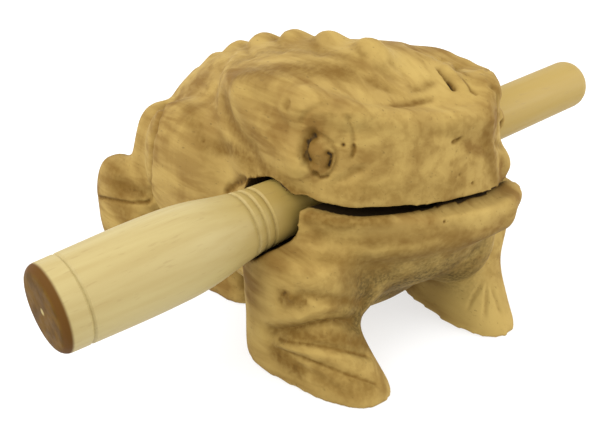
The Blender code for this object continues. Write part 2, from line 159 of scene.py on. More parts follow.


# Each mark says its name, the pixels of its line, and then its reach, its depth and how dark it is: real
# staining on some marks, painted shade on others, and painted light where it is below 0.
EYE_MARKS = tuple(
    replace(mark, both_sides=True)
    for mark in (
        Mark("ball of the eye", ((321, 153),), 0.0038, -0.0013),
        Mark("hollow behind the ball", ((312, 136), (306, 140), (304, 147), (304, 154), (308, 161)),
             0.0023, 0.0018, 1.0),
        Mark("shade round the hollow", ((307, 141), (304, 149), (307, 158)), 0.0034, 0.0, 0.36),
        Mark("lower back corner", ((306, 164), (311, 170), (316, 175)), 0.0009, 0.0006, 0.45),
        Mark("edge of the lid",
             ((318, 134), (326, 138), (332, 144), (336, 152), (336, 162), (333, 170), (328, 176)),
             0.0008, 0.0005, 0.30),
        Mark("cut under the ball", ((315, 175), (320, 178), (326, 177)), 0.0009, 0.0006, 0.75),
        Mark("slot of the pupil", ((328, 153), (331, 155), (330, 161), (328, 167)), 0.0009, 0.0009, 1.0),
        Mark("upper fold of the lid",
             ((303, 121), (308, 113), (318, 107), (330, 106), (342, 110), (349, 118)),
             0.0012, 0.0004, 0.18),
        Mark("front of the lid's fold", ((349, 118), (352, 128), (354, 140)), 0.0010, 0.0004, 0.30),
        Mark("cut before the eye", ((353, 140), (354, 150), (351, 161)), 0.0009, 0.0005, 0.75, fade=True),
        Mark("pin prick before the eye", ((343, 145),), 0.0008, 0.0004, 1.0),
        Mark("lump over the eye", ((345, 124),), 0.0028, -0.0004),
        Mark("smaller lump over the eye", ((360, 122),), 0.0020, -0.0003),
        Mark("fold under the eye", ((372, 168), (360, 170), (350, 175), (342, 180), (330, 186)),
             0.0016, 0.0005, 0.35, fade=True),
    )
)
SNOUT_MARKS = (
    Mark("edge of the brow", ((292, 108), (320, 110), (345, 113), (400, 116), (450, 118), (486, 120)),
         0.0048, -0.0013, section=Section.SHARP),
    Mark("groove above the brow's edge", ((330, 101), (400, 103), (470, 106)), 0.0035, 0.0003),
    Mark("groove below the brow's edge", ((330, 127), (400, 129), (470, 132)), 0.0032, 0.0003, 0.14),
    Mark("far brow, cut down", ((425, 46), (438, 49), (452, 53), (464, 58)), 0.0080, 0.0022),
    Mark("bump on the far brow", ((448, 62),), 0.0030, -0.0008),
    Mark("bump at the snout's corner", ((488, 74), (494, 84)), 0.0040, -0.0007),
    Mark("front edge of the snout", ((484, 82), (486, 110), (489, 140), (495, 178)), 0.0030, -0.0007,
         section=Section.SHARP),
    Mark("nostril", ((450, 144), (457, 141), (464, 136)), 0.0008, 0.0005, 0.7, fade=True),
    Mark("pore by the lip's end", ((473, 183),), 0.0007, 0.0004, 1.0),
    Mark("pore above the lip", ((460, 175),), 0.0006, 0.0003, 0.6),
    Mark("pore below the lip", ((445, 222),), 0.0006, 0.0004, 1.0),
    Mark("start of the gouge", ((436, 66), (442, 73), (449, 81)), 0.0010, 0.0008, 0.50, fade=True),
    Mark("gouge", ((445, 76), (451, 84), (457, 91)), 0.0011, 0.0013, 1.0, fade=True),
    Mark("first notch of the far brow", ((443, 51), (447, 60)), 0.0018, 0.0010, 0.20),
    Mark("second notch of the far brow", ((459, 57), (460, 67)), 0.0016, 0.0010, 0.30),
    # Painted shade on the ledge under the slit, where the upper jaw shades it.
    Mark("painted shade under the mouth slit", ((308, 216), (340, 222), (384, 220)), 0.0036, 0.0, 0.52),
    Mark("ridge beside the gouge", ((446, 68), (455, 77), (463, 86)), 0.0022, -0.0008),
    Mark("small cut beside the ridge", ((463, 80), (468, 87), (476, 95)), 0.0008, 0.0003, 0.45),
    Mark("first stripe of the crown", ((358, 74), (380, 85), (402, 95)), 0.0028, 0.0005, 0.42, fade=True),
    Mark("second stripe of the crown", ((366, 62), (385, 72), (404, 84)), 0.0018, 0.0004, 0.26, fade=True),
    Mark("third stripe of the crown", ((384, 58), (398, 68), (410, 79)), 0.0016, 0.0003, 0.20, fade=True),
    Mark("stripe before the gouge", ((406, 93), (425, 87), (440, 78)), 0.0026, 0.0003, 0.42, fade=True),
    Mark("stained streak on the brow", ((380, 106), (400, 104), (420, 101), (442, 97)),
         0.0020, 0.0002, 0.60, fade=True),
    Mark("cut at the temple", ((293, 99), (289, 105), (287, 112)), 0.0020, 0.0006, 0.50, fade=True),
    Mark("edge of the lip",
         ((312, 217), (340, 222), (365, 222), (400, 218), (440, 210), (478, 201), (505, 190)),
         0.0030, -0.0009, 0.22),
    Mark("far end of the lip", ((440, 208), (475, 198), (505, 188)), 0.0034, -0.0006),
    Mark("corner of the lip", ((511, 186), (514, 200), (510, 218)), 0.0042, -0.0009),
    # Painted shade down the snout's edge, where the face turns away from the light.
    Mark("painted shade on the snout's edge", ((484, 135), (489, 160), (496, 182)), 0.0034, 0.0, 0.40),
    Mark("shade low on the cheek", ((335, 191), (400, 193), (455, 186)), 0.0060, 0.0, 0.32),
    Mark("shade under the lip", ((330, 238), (400, 238), (456, 230)), 0.0060, 0.0, 0.24),
    # The paler marks on the crown and on the lip are painted light, as if those places were more brightly
    # lit.
    Mark("painted light on the crown", ((385, 59), (410, 65), (428, 76)), 0.0070, 0.0, -0.5),
    Mark("dip behind the crown", ((372, 52),), 0.0044, 0.0006),
    Mark("painted light on the far lip", ((450, 222), (480, 216), (505, 206)), 0.0050, 0.0, -0.6),
    Mark("painted light on the near lip", ((330, 232), (370, 232), (410, 229)), 0.0040, 0.0, -0.5),
)
BACK_MARKS = (
    Mark("second marked valley of the crest", ((275, 37), (283, 52)), 0.0026, 0.0006, 0.30),
    Mark("third marked valley of the crest", ((311, 38), (321, 54)), 0.0026, 0.0006, 0.30),
    Mark("fourth marked valley of the crest", ((352, 43), (364, 56)), 0.0024, 0.0005, 0.35),
    Mark("first marked valley of the crest", ((242, 42), (251, 57)), 0.0026, 0.0005, 0.30),
    Mark("broad shade on the back", ((245, 72), (300, 68), (345, 72)), 0.0085, 0.0, 0.48),
    Mark("shade on the heel", ((112, 172), (118, 196), (124, 216)), 0.0085, 0.0, 0.38),
    Mark("shade along the crest", ((236, 62), (262, 52), (290, 50), (318, 51), (345, 58)),
         0.0056, 0.0, 0.34),
)
BODY_MARKS = (
    # The darkening of this groove is painted shade of the head's underside, which faces down.
    Mark("groove behind the head", ((222, 104), (230, 124), (244, 144), (262, 162), (285, 180), (300, 196)),
         0.0050, 0.0010, 0.50),
    Mark("ridge beside that groove", ((236, 96), (252, 116), (274, 140), (296, 166)), 0.0050, -0.0008),
    # Painted shade where the shoulder turns from the light, and under the head above the bore.
    Mark("painted shade on the shoulder", ((186, 108), (194, 128), (206, 146)), 0.0046, 0.0, 0.34),
    Mark("painted shade above the bore", ((218, 148), (232, 150), (248, 160)), 0.0046, 0.0004, 0.52),
    Mark("cut behind the bore", ((226, 192), (234, 184), (244, 180)), 0.0016, 0.0008, 0.75),
    Mark("fold of the haunch", ((165, 103), (158, 118), (152, 140), (150, 165), (150, 200)),
         0.0018, 0.0008, 0.42),
    Mark("crease in the heel", ((98, 197), (115, 201), (130, 203), (148, 203)), 0.0010, 0.0008, 0.7),
    Mark("hollow in the heel", ((119, 186), (126, 190), (140, 194)), 0.0042, 0.0012, 0.62),
    # Painted light: the next two marks make the haunch and the flank paler, as if more brightly lit.
    Mark("painted light on the haunch", ((170, 160), (188, 150), (200, 172)), 0.0100, 0.0, -0.25),
    Mark("painted light on the flank", ((225, 172), (210, 160)), 0.0060, 0.0, -0.4),
    Mark("upper spot on the flank", ((200, 125),), 0.0020, 0.0002, 0.5),
    Mark("lower spot on the flank", ((203, 141),), 0.0014, 0.0002, 0.6),
)
LEG_MARKS = (
    Mark("left arc of the knot", ((288, 291), (282, 295), (280, 301), (284, 308)),
         0.0017, 0.0005, 0.70, fade=True),
    Mark("right arc of the knot", ((299, 310), (304, 305), (305, 299)), 0.0015, 0.0004, 0.50, fade=True),
    Mark("shade of the knot", ((286, 300), (298, 302)), 0.0052, 0.0003, 0.56),
    Mark("middle of the knot", ((291, 299),), 0.0015, -0.0005),
    Mark("shade of the knee", ((285, 262), (298, 284)), 0.0100, 0.0, 0.14),
    Mark("crease above the foot", ((302, 296), (330, 299), (362, 303)), 0.0028, 0.0009, 0.46),
    Mark("first crease of the toes", ((268, 333), (290, 331), (320, 326), (362, 320)), 0.0030, 0.0021, 0.55,
         section=Section.SHARP),
    Mark("dark bottom of that crease", ((272, 333), (290, 332), (320, 327), (360, 321)), 0.0010, 0.0004, 0.72,
         section=Section.SHARP, fade=True),
    Mark("shade between the toes", ((280, 336), (310, 338), (345, 340), (366, 344)), 0.0044, 0.0, 0.52),
    Mark("second crease of the toes", ((276, 341), (300, 344), (330, 348), (366, 355)), 0.0012, 0.0006, 0.65,
         section=Section.SHARP),
    Mark("ridge of the toe", ((280, 347), (310, 353), (340, 358), (370, 364)), 0.0022, -0.0006,
         section=Section.SHARP),
    Mark("third crease of the toes", ((280, 350), (310, 361), (340, 372), (376, 383)), 0.0014, 0.0007, 0.62,
         section=Section.SHARP),
    Mark("fourth crease of the toes", ((288, 360), (315, 376), (340, 391), (356, 399)), 0.0016, 0.0004, 0.35,
         fade=True),
    Mark("stained patch on the foot", ((276, 354), (288, 364), (298, 371)), 0.0056, 0.0003, 0.62),
    Mark("shade on the toes", ((318, 374), (346, 386), (370, 388)), 0.0075, 0.0, 0.40),
    Mark("shade under the jaw", ((330, 258), (370, 262), (420, 254), (462, 243)), 0.0066, 0.0, 0.40),
    Mark("shade on the breast", ((318, 232), (345, 240), (380, 242)), 0.0040, 0.0, 0.34),
    Mark("bulge inside the leg", ((352, 300), (366, 318)), 0.0050, -0.0008),
    # Painted light: the far foot and the near leg are made paler, as if more brightly lit.
    Mark("painted light on the far foot", ((466, 296), (482, 300), (494, 316)), 0.0140, 0.0, -1.0),
    Mark("painted light on the near leg", ((262, 315), (270, 290), (262, 330)), 0.0050, 0.0, -0.4),
    Mark("first crease of the far foot", ((485, 278), (474, 295), (466, 312)),
         0.0010, 0.0003, 0.22, fade=True),
    Mark("second crease of the far foot", ((487, 280), (486, 300), (484, 322)),
         0.0010, 0.0003, 0.22, fade=True),
    Mark("third crease of the far foot", ((489, 282), (496, 300), (502, 318)),
         0.0010, 0.0003, 0.20, fade=True),
)


@dataclass(frozen=True)
class CarvedWood:
    """The finish of the carved frog: yellow-brown wood, mottled with age and fine dark pores.

    Attributes:
        light: the colour of the clean wood.
        dark: the colour of its browner places.
        pale: the colour painted on places that should look more brightly lit, as painted light.
        umber: the colour of its stained places and of its painted shade.
        pore: the colour of the pores, of the grime in the cuts and of the painted shade deep in the bore and
            the slit.
        chin_speckle_and_shade: the colour of the speckle under the jaw, which also darkens the whole
            underside as painted shade.
        painted_light_share: how much of the pale colour, which is painted light, those places take.
        smoothest: its lowest roughness.
        roughest: its highest roughness.
        shine: how strongly it mirrors.
        relief: how strongly its grain is felt.
        relief_height: how high its grain stands.
        streak_height: the streaks' share of that height.
        pore_height: the pores' share of it; they go down.
        speckle_height: the fine speckle's share of it.
    """

    light: Colour = (0.334, 0.228, 0.066)
    dark: Colour = (0.168, 0.094, 0.022)
    pale: Colour = (0.400, 0.285, 0.088)
    umber: Colour = (0.128, 0.068, 0.012)
    pore: Colour = (0.030, 0.018, 0.007)
    chin_speckle_and_shade: Colour = (0.066, 0.043, 0.011)
    painted_light_share: float = 0.85
    smoothest: float = 0.66
    roughest: float = 0.82
    shine: float = 0.08
    relief: float = 0.45
    relief_height: float = 0.0002
    streak_height: float = 0.5
    pore_height: float = -1.0
    speckle_height: float = 0.4


@dataclass(frozen=True)
class TurnedWood:
    """The finish of the turned stick: pale, bare wood with fine flecks along its length.

    Attributes:
        light: the colour of the clean wood.
        dark: the colour of its browner places.
        fleck: the colour of its fine flecks.
        rod: the colour towards the rod, darker and more orange than the handle as painted shade.
        end: the colour of the handle's end grain.
        end_light: the colour of the end grain's lighter places.
        end_rim: the colour round the end's rim.
        smoothest: its lowest roughness.
        roughest: its highest roughness.
        shine: how strongly it mirrors.
        end_dullness: how much of that shine the end grain lacks.
        relief: how strongly its grain is felt.
        relief_height: how high its grain stands.
    """

    light: Colour = (0.350, 0.280, 0.116)
    dark: Colour = (0.304, 0.230, 0.086)
    fleck: Colour = (0.200, 0.130, 0.045)
    rod: Colour = (0.284, 0.186, 0.032)
    end: Colour = (0.066, 0.031, 0.003)
    end_light: Colour = (0.104, 0.052, 0.006)
    end_rim: Colour = (0.085, 0.038, 0.008)
    smoothest: float = 0.45
    roughest: float = 0.58
    shine: float = 0.30
    end_dullness: float = 0.9
    relief: float = 0.15
    relief_height: float = 0.0001


class NodeSheet:
    """A material under construction: short calls that add and join its nodes.

    Attributes:
        mix_share: the number of a mix node's input for the second colour's share.
        mix_first: the number of its input for the first colour.
        mix_second: the number of its input for the second colour.
        mix_result: the number of its output for the mixed colour.
    """

    mix_share = 0
    mix_first = 6
    mix_second = 7
    mix_result = 2

    def __init__(self, name: str) -> None:
        """Starts a material with a Principled shader.

        Args:
            name: the material's name.
        """
        self.material = bpy.data.materials.new(name)
        self.material.use_nodes = True
        self.tree = self.material.node_tree
        self.shader = self.tree.nodes["Principled BSDF"]
        self.place = self.add("ShaderNodeTexCoord").outputs["Object"]

    def add(self, kind: str, **settings: object) -> bpy.types.Node:
        """Adds a node and sets its properties.

        Args:
            kind: the node's type.
            settings: its properties by name.

        Returns:
            The new node.
        """
        node = self.tree.nodes.new(kind)
        for name, value in settings.items():
            setattr(node, name, value)
        return node

    def join(self, source: Socket | float, target: Socket) -> None:
        """Links an output to an input, or sets the input to a plain number.

        Args:
            source: the output or the number.
            target: the input.
        """
        if isinstance(source, Socket):
            self.tree.links.new(source, target)
        else:
            target.default_value = source

    def mapped(self, scale: Triple, turn: Triple = (0, 0, 0), shift: Triple = (0, 0, 0)) -> Socket:
        """Stretches, turns and then moves the object's coordinates.

        Args:
            scale: what each coordinate is multiplied by.
            turn: the angles about the three axes.
            shift: the move along the three axes.

        Returns:
            The new coordinates.
        """
        node = self.add("ShaderNodeMapping", vector_type="POINT")
        self.join(self.place, node.inputs["Vector"])
        node.inputs["Location"].default_value = shift
        node.inputs["Rotation"].default_value = turn
        node.inputs["Scale"].default_value = scale
        return node.outputs["Vector"]

    def scaled(self, place: Socket, scale: Triple) -> Socket:
        """Multiplies coordinates along each axis.

        Args:
            place: the coordinates.
            scale: what each of them is multiplied by.

        Returns:
            The new coordinates.
        """
        node = self.add("ShaderNodeVectorMath", operation="MULTIPLY")
        self.join(place, node.inputs[0])
        node.inputs[1].default_value = scale
        return node.outputs["Vector"]

    def clouds(self, place: Socket, scale: float, detail: float = 3.0, warp: float = 0.0) -> Socket:
        """Adds a soft random pattern.

        Args:
            place: the coordinates that it follows.
            scale: how fine it is.
            detail: how many finer patterns are laid over it.
            warp: how much it is bent.

        Returns:
            The pattern, from 0 to 1.
        """
        node = self.add("ShaderNodeTexNoise", noise_dimensions="3D")
        self.join(place, node.inputs["Vector"])
        node.inputs["Scale"].default_value = scale
        node.inputs["Detail"].default_value = detail
        node.inputs["Distortion"].default_value = warp
        return node.outputs["Fac"]

    def between(self, source: Socket, low: float, high: float,
                bottom: float = 0.0, top: float = 1.0) -> Socket:
        """Spreads one stretch of a number over another, and holds it there.

        Args:
            source: the number.
            low: where the stretch starts.
            high: where it ends.
            bottom: what comes out at its start and before.
            top: what comes out at its end and after.

        Returns:
            The new number.
        """
        node = self.add("ShaderNodeMapRange", interpolation_type="SMOOTHSTEP")
        self.join(source, node.inputs["Value"])
        for name, value in (("From Min", low), ("From Max", high), ("To Min", bottom), ("To Max", top)):
            node.inputs[name].default_value = value
        return node.outputs["Result"]

    def combine(self, operation: str, first: Socket | float, second: Socket | float) -> Socket:
        """Works one number out of two.

        Args:
            operation: the math node's operation.
            first: the first number.
            second: the second number.

        Returns:
            The result.
        """
        node = self.add("ShaderNodeMath", operation=operation)
        self.join(first, node.inputs[0])
        self.join(second, node.inputs[1])
        return node.outputs["Value"]

    def plus(self, first: Socket | float, second: Socket | float) -> Socket:
        """Adds two numbers."""
        return self.combine("ADD", first, second)

    def minus(self, first: Socket | float, second: Socket | float) -> Socket:
        """Takes the second number from the first."""
        return self.combine("SUBTRACT", first, second)

    def times(self, first: Socket | float, second: Socket | float) -> Socket:
        """Multiplies two numbers."""
        return self.combine("MULTIPLY", first, second)

    def blend(self, share: Socket | float, first: Socket | Colour, second: Socket | Colour) -> Socket:
        """Mixes two colours.

        Args:
            share: how much of the second colour there is, from 0 to 1.
            first: the first colour.
            second: the second colour.

        Returns:
            The mixed colour.
        """
        node = self.add("ShaderNodeMix", data_type="RGBA")
        self.join(share, node.inputs[self.mix_share])
        for source, number in ((first, self.mix_first), (second, self.mix_second)):
            if isinstance(source, tuple):
                node.inputs[number].default_value = (*source, 1.0)
            else:
                self.join(source, node.inputs[number])
        return node.outputs[self.mix_result]

    def value(self, name: str) -> Socket:
        """Reads a number that the mesh holds at each vertex."""
        return self.add("ShaderNodeAttribute", attribute_name=name).outputs["Fac"]

    def surface(self, colour: Socket, shine: Socket | float, roughness: Socket) -> None:
        """Gives the shader its colour, its shine and its roughness.

        Args:
            colour: the colour.
            shine: how strongly it mirrors.
            roughness: how rough it is.
        """
        inputs = {"Base Color": colour, "Specular IOR Level": shine, "Roughness": roughness}
        for name, source in inputs.items():
            self.join(source, self.shader.inputs[name])

    def relief(self, height: Socket, strength: float, distance: float) -> None:
        """Gives the shader its bump.

        Args:
            height: the pattern that is felt.
            strength: how strongly it is felt.
            distance: how high it stands.
        """
        node = self.add("ShaderNodeBump")
        self.join(height, node.inputs["Height"])
        node.inputs["Strength"].default_value = strength
        node.inputs["Distance"].default_value = distance
        self.join(node.outputs["Normal"], self.shader.inputs["Normal"])


def new_object(name: str, bm: bmesh.types.BMesh) -> bpy.types.Object:
    """Makes an object of a bmesh.

    Args:
        name: the object's name.
        bm: its shape, which is freed.

    Returns:
        The object, at the origin.
    """
    mesh = bpy.data.meshes.new(name)
    bm.to_mesh(mesh)
    bm.free()
    made = bpy.data.objects.new(name, mesh)
    bpy.context.scene.collection.objects.link(made)
    return made


def settle(piece: bpy.types.Object) -> None:
    """Applies a piece's modifiers to its mesh.

    Args:
        piece: the piece.
    """
    bpy.context.view_layer.update()
    view = bpy.context.evaluated_depsgraph_get()
    finished = bpy.data.meshes.new_from_object(piece.evaluated_get(view))
    piece.modifiers.clear()
    piece.data = finished


def read_shape(mesh: bpy.types.Mesh) -> tuple[np.ndarray, np.ndarray]:
    """Reads a mesh's points and its normals.

    Args:
        mesh: the mesh.

    Returns:
        The points, and the normal at each of them, one in each row.
    """
    points = np.zeros(len(mesh.vertices) * 3, np.float32)
    normals = np.zeros_like(points)
    mesh.vertices.foreach_get("co", points)
    mesh.vertex_normals.foreach_get("vector", normals)
    return points.reshape(-1, 3).astype(float), normals.reshape(-1, 3).astype(float)


def held(share: np.ndarray) -> np.ndarray:
    """Holds numbers between 0 and 1."""
    return np.clip(share, 0, 1)


def eased(share: np.ndarray) -> np.ndarray:
    """Softens the start and the end of a change from 0 to 1."""
    return share * share * (3 - 2 * share)


def lumps(points: np.ndarray, span: float) -> np.ndarray:
    """Gives each point a random number from about -1 to 1, which varies smoothly over a span."""
    return np.array([noise.noise(Vector(point) / span) for point in points])


def distance_to_line(points: np.ndarray, line: np.ndarray) -> tuple[np.ndarray, np.ndarray]:
    """Measures how far points are from a broken line.

    Args:
        points: the points, one in each row.
        line: the line's corners, one in each row.

    Returns:
        Each point's distance, and its place along the line from 0 to 1.
    """
    if len(line) == 1:
        return np.linalg.norm(points - line[0], axis=1), np.full(len(points), 0.5)
    lengths = np.linalg.norm(np.diff(line, axis=0), axis=1)
    before = np.concatenate([[0.0], np.cumsum(lengths)])
    nearest = np.full(len(points), np.inf)
    along = np.zeros(len(points))
    for index, length in enumerate(lengths):
        if length == 0:
            continue
        run = line[index + 1] - line[index]
        share = held(((points - line[index]) @ run) / length**2)
        gap = np.linalg.norm(points - line[index] - share[:, None] * run, axis=1)
        closer = gap < nearest
        nearest[closer] = gap[closer]
        along[closer] = (before[index] + share[closer] * length) / before[-1]
    return nearest, along


def stick_line() -> tuple[Vector, Vector, float]:
    """Finds the line of the frame's stick.

    Returns:
        The middle of the handle's end, the direction to the tip, and the length.
    """
    slide = next(joint for joint in frame["joints"] if joint["name"] == "stick_slide")
    along = -Vector(slide["axis"]).normalized()
    bm = bmesh.new()
    bm.from_mesh(frame["nodes"]["striker_stick"].data)
    bmesh.ops.remove_doubles(bm, verts=bm.verts, dist=MERGE_DISTANCE)
    points = [vert.co.copy() for vert in bm.verts]
    bm.free()
    places = [point.dot(along) for point in points]
    middle = sum((point - along * place for point, place in zip(points, places)), Vector()) / len(points)
    return middle + along * min(places), along, max(places) - min(places)


@dataclass(frozen=True)
class ChinSpeckleAndShade:
    """Where the dark speckle and the painted shade under the jaw lie.

    Attributes:
        top: the height below which it starts.
        top_fade: how far below its top it is full.
        bottom: the height above which it starts.
        bottom_fade: how far above its bottom it is full.
        back: how far behind the bore's axis it starts.
        back_fade: how far before its back it is full.
        half_width: how far it reaches to each side of the frog's middle.
        side_fade: how far inside its sides it is full.
    """

    top: float = 0.0320
    top_fade: float = 0.012
    bottom: float = 0.006
    bottom_fade: float = 0.006
    back: float = 0.001
    back_fade: float = 0.010
    half_width: float = 0.026
    side_fade: float = 0.010

    def share(self, across: np.ndarray, behind: np.ndarray, height: np.ndarray) -> np.ndarray:
        """Works out how much of the speckle and the painted shade there is.

        Args:
            across: how far each point is from the frog's middle.
            behind: how far each point is behind the bore's axis.
            height: each point's height.

        Returns:
            The share of the speckle and the painted shade at each point, from 0 to 1.
        """
        low = np.sqrt(held((self.top - height) / self.top_fade))
        raised = held((height - self.bottom) / self.bottom_fade)
        forward = held((self.back - behind) / self.back_fade)
        inside = held((self.half_width - np.abs(across)) / self.side_fade)
        return low * raised * forward * inside


@dataclass
class FrogCarving:
    """The frog, carved from one block: the frame's solid with its surface worked by the knife.

    Attributes:
        camera: the photograph's camera.
        finish: the wood.
        chin: the dark speckle and the painted shade under the jaw.
        marks: the marks of the knife, the stains, and the places of painted shade and painted light.
        grain: the size of the even mesh's faces.
        smoothings: how often all but the cut edges is smoothed.
        smoothing: how strong each of these is.
        last_smoothings: how often the whole surface is then smoothed.
        last_smoothing: how strong each of these is.
        middle: the place of the frog's middle plane along X.
        head_turn: how far the head is turned.
        head_roll: how far the head leans to its side.
        bore_height: the height of the bore's axis in the middle plane.
        bore_tilt: how far the bore rises towards +X.
        bore_forward: the place of the bore's axis along Y.
        bore_radius: the bore's radius.
        mouth_rise: how far the mouth slit is above the bore's axis.
        mouth_gap: the slit's height.
        mouth_tilt: how far the slit sinks towards +X.
        edge_zone: how far from the bore and the slit the wood stays crisp.
        unevenness: how uneven the whole surface is.
        unevenness_span: how wide its unevenness is.
        pixel_step: how far apart a mark's line is laid on the carving, in pixels.
        fine_reach: the reach up to which a mark counts as fine.
        fine_margin: how far beyond a fine mark the faces are split, in faces.
        fine_cuts: how many cuts an edge near a fine mark gets.
        raggedness: how ragged the marks' edges are.
        raggedness_span: how wide the raggedness is at least.
        ragged_zone: how far out it is worked out, in reaches of the mark.
        run_out: the share of a fading mark over which it runs out at each end.
        stain_and_shade_falloff: how fast the darkening of marks, staining and painted shade alike, gets
            weaker away from their lines.
        hollow_painted_shade: how dark the painted shade inside the bore and the slit is.
        hollow_margin: how far beyond the slit's faces the painted shade reaches, in faces of the mesh.
        hollow_slope: how far outwards the test for the slit's other side leans.
        rim_fade: how wide the soft edge of the painted shade inside the bore is, in faces.
        lid_side: the direction from the stick to the wood that is drawn down to it.
        lid_start: how much of that direction a place has where the lid starts.
        lid_spread: how much more of it a place has where the lid is full.
        lid_drop: how far the wood is drawn down.
        lid_clearance: how near to the stick's axis it may come.
        lid_overhang: how far it is drawn out over the stick.
        lid_end: how far from the handle's end the lid reaches.
        lid_reach: how far from the stick's axis the lid reaches.
        lid_fade: how far inside both of these it is full.
    """

    camera: PhotoCamera
    finish: CarvedWood = field(default_factory=CarvedWood)
    chin: ChinSpeckleAndShade = field(default_factory=ChinSpeckleAndShade)
    marks: tuple[Mark, ...] = EYE_MARKS + SNOUT_MARKS + BACK_MARKS + BODY_MARKS + LEG_MARKS
    grain: float = 0.00080
    smoothings: int = 4
    smoothing: float = 0.5
    last_smoothings: int = 2
    last_smoothing: float = 0.3
    middle: float = -0.00086
    head_turn: float = math.radians(9.0)
    head_roll: float = math.radians(0.3)
    bore_height: float = 0.0380
    bore_tilt: float = math.radians(2.8)
    bore_forward: float = -0.02663
    bore_radius: float = 0.0092
    mouth_rise: float = 0.0020
    mouth_gap: float = 0.0026
    mouth_tilt: float = math.radians(2.5)
    edge_zone: float = 0.0012
    unevenness: float = 0.00018
    unevenness_span: float = 0.0075
    pixel_step: float = 3.0
    fine_reach: float = 0.0016
    fine_margin: float = 1.5
    fine_cuts: int = 2
    raggedness: float = 0.40
    raggedness_span: float = 0.0017
    ragged_zone: float = 1.6
    run_out: float = 0.25
    stain_and_shade_falloff: float = 1.5
    hollow_painted_shade: float = 2.0
    hollow_margin: float = 0.25
    hollow_slope: float = 0.6
    rim_fade: float = 1.5
    lid_side: Vector = field(default_factory=lambda: Vector((0.0, -0.10, 0.99)))
    lid_start: float = 0.42
    lid_spread: float = 0.52
    lid_drop: float = 0.0028
    lid_clearance: float = 0.0080
    lid_overhang: float = 0.0006
    lid_end: float = 0.0630
    lid_reach: float = 0.0165
    lid_fade: float = 0.0060

    def build(self) -> bpy.types.Object:
        """Makes the carving and dresses it.

        Returns:
            The finished piece.
        """
        piece = self.block_out()
        self.wear(piece)
        self.refine(piece)
        self.carve(piece)
        self.dress(piece)
        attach(piece, "frog")
        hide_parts("frog_body")
        return piece

    def block_out(self) -> bpy.types.Object:
        """Copies the frame's solid as an even mesh.

        Returns:
            The new piece.
        """
        bm = bmesh.new()
        bm.from_mesh(frame["nodes"]["frog_body"].data)
        bmesh.ops.remove_doubles(bm, verts=bm.verts, dist=MERGE_DISTANCE)
        piece = new_object("carved_frog", bm)
        even = piece.modifiers.new("even_mesh", "REMESH")
        even.mode = "VOXEL"
        even.voxel_size = self.grain
        settle(piece)
        return piece

    def across(self, points: np.ndarray) -> np.ndarray:
        """Measures how far points are from the frog's middle plane."""
        return points[:, 0] - self.middle

    def behind(self, points: np.ndarray) -> np.ndarray:
        """Measures how far points are behind the bore's axis."""
        return points[:, 1] - self.bore_forward

    def from_cuts(self, points: np.ndarray) -> tuple[np.ndarray, np.ndarray]:
        """Measures how points lie to the bore and to the mouth slit.

        Args:
            points: the points, one in each row.

        Returns:
            Their distances from the bore's wall, below 0 inside it, and their heights above the
            slit's middle.
        """
        across = self.across(points)
        bore_line = self.bore_height + across * math.tan(self.bore_tilt)
        mouth_line = self.bore_height + self.mouth_rise - across * math.tan(self.mouth_tilt)
        from_bore = np.hypot(self.behind(points), points[:, 2] - bore_line) - self.bore_radius
        return from_bore, points[:, 2] - mouth_line

    def cut_edges(self, points: np.ndarray) -> np.ndarray:
        """Finds the points near the sawn and drilled edges, which stay crisp.

        Args:
            points: the points, one in each row.

        Returns:
            Whether each point is one of them.
        """
        from_bore, over_mouth = self.from_cuts(points)
        near_mouth = np.abs(over_mouth) - self.mouth_gap / 2 < self.edge_zone
        in_front = self.behind(points) < self.edge_zone
        return (from_bore < self.edge_zone) | (near_mouth & in_front)

    def wear(self, piece: bpy.types.Object) -> None:
        """Smooths the facets away, but leaves the cut edges.

        Args:
            piece: the carving.
        """
        bm = bmesh.new()
        bm.from_mesh(piece.data)
        points = np.array([vert.co for vert in bm.verts])
        soft = [vert for vert, sharp in zip(bm.verts, self.cut_edges(points)) if not sharp]
        first = (self.smoothings, self.smoothing, soft)
        last = (self.last_smoothings, self.last_smoothing, list(bm.verts))
        for times, strength, verts in (first, last):
            for _ in range(times):
                bmesh.ops.smooth_vert(bm, verts=verts, factor=strength, use_axis_x=True, use_axis_y=True,
                                      use_axis_z=True)
        bm.to_mesh(piece.data)
        bm.free()

    def trace(self, mark: Mark, surface: BVHTree) -> list[np.ndarray]:
        """Lays a mark's line on the carving, and on the head's other side where it is on both.

        Args:
            mark: the mark.
            surface: the carving's surface.

        Returns:
            The lines, each as an array of points.
        """
        stretched = [mark.pixels[0]]
        for start, end in zip(mark.pixels, mark.pixels[1:]):
            steps = max(1, round(math.dist(start, end) / self.pixel_step))
            for step in range(1, steps + 1):
                share = step / steps
                stretched.append(tuple(here + (there - here) * share for here, there in zip(start, end)))
        hits = [surface.ray_cast(self.camera.place, self.camera.ray(pixel))[0] for pixel in stretched]
        near = [hit for hit in hits if hit is not None]
        if not near:
            log.warning("the mark %s misses the carving", mark.name)
            return []
        lines = [np.array(near)]
        if mark.both_sides:
            lines.append(np.array([surface.find_nearest(self.opposite(hit))[0] for hit in near]))
        return lines

    def opposite(self, point: Vector) -> Vector:
        """Finds the same place on the head's other side.

        Args:
            point: a place on the head.

        Returns:
            Its mirror image in the middle plane of the turned head.
        """
        across = point.x - self.middle
        forward = 2 * across * math.tan(self.head_turn)
        lower = 2 * across * math.tan(self.head_roll)
        return Vector((self.middle - across, point.y + forward, point.z - lower))

